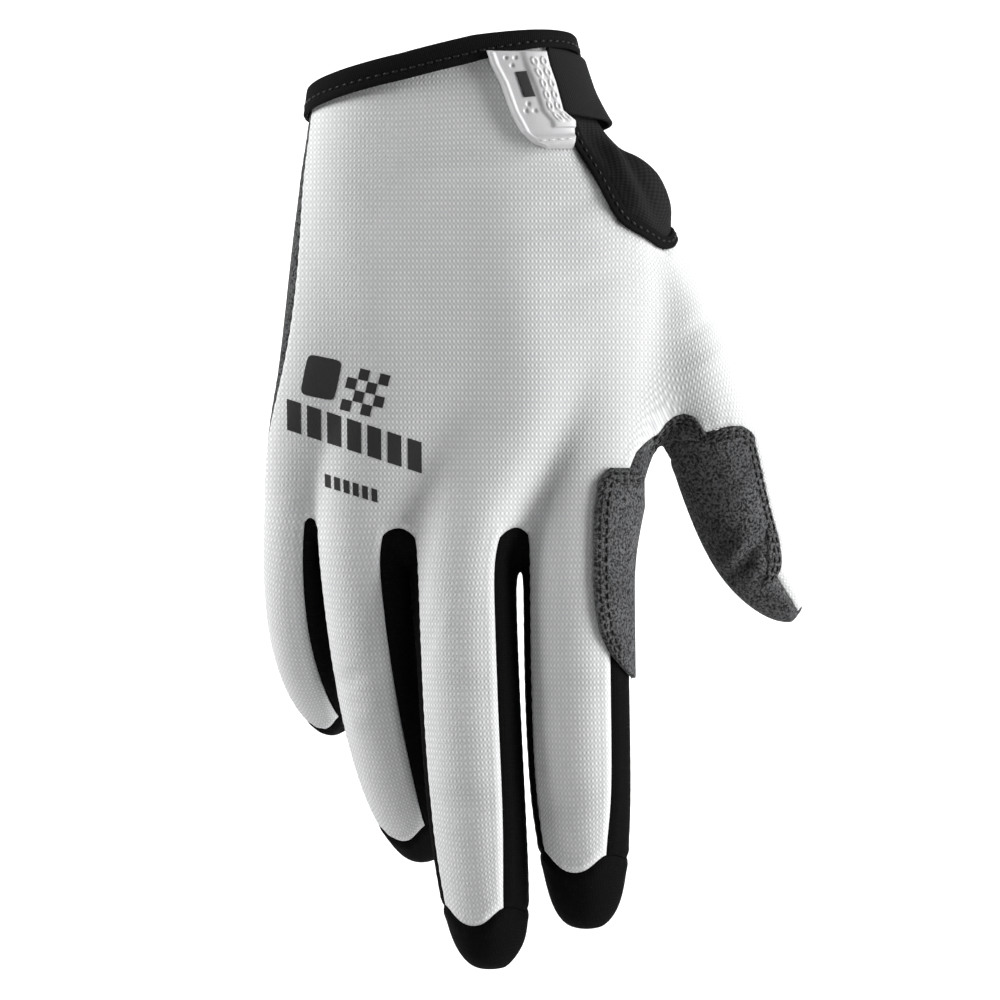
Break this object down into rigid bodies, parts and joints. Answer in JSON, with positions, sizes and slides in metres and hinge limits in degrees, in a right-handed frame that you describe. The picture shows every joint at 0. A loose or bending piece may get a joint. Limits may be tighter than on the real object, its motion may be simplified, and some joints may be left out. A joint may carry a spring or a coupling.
{
  "type": "motocross glove",
  "caption": "Slim motocross glove for the right hand with a white knitted back, grey suede palm and thumb, black finger fronts and an elastic wrist strap on a moulded tab.",
  "frame": {"origin": "centre of the wrist opening", "axes": "+Z out of the wrist opening, so the fingers point to -Z; +Y to the palm, so the back of the hand faces -Y; +X to the thumb"},
  "size_m": [0.1336, 0.0796, 0.2337],
  "materials": {
    "knit": "matte",
    "suede": "matte",
    "black_cloth": "matte",
    "elastic": "matte",
    "white_rubber": "satin"
  },
  "bodies": {
    "root": {"back_panel": "knit", "palm_panel": "suede", "thumb_leather": "suede", "index_patch": "suede", "finger_front_index": "black_cloth", "finger_front_middle": "black_cloth", "finger_front_ring": "black_cloth", "finger_front_little": "black_cloth", "fourchette_little_ring": "black_cloth", "fourchette_ring_middle": "black_cloth", "fourchette_middle_index": "black_cloth", "side_strip_index": "black_cloth", "side_strip_little": "black_cloth", "wrist_gusset": "black_cloth", "cuff_binding": "black_cloth", "slit_binding": "black_cloth", "wrist_strap": "elastic", "closure_tab": "white_rubber"}
  },
  "joints": []
}
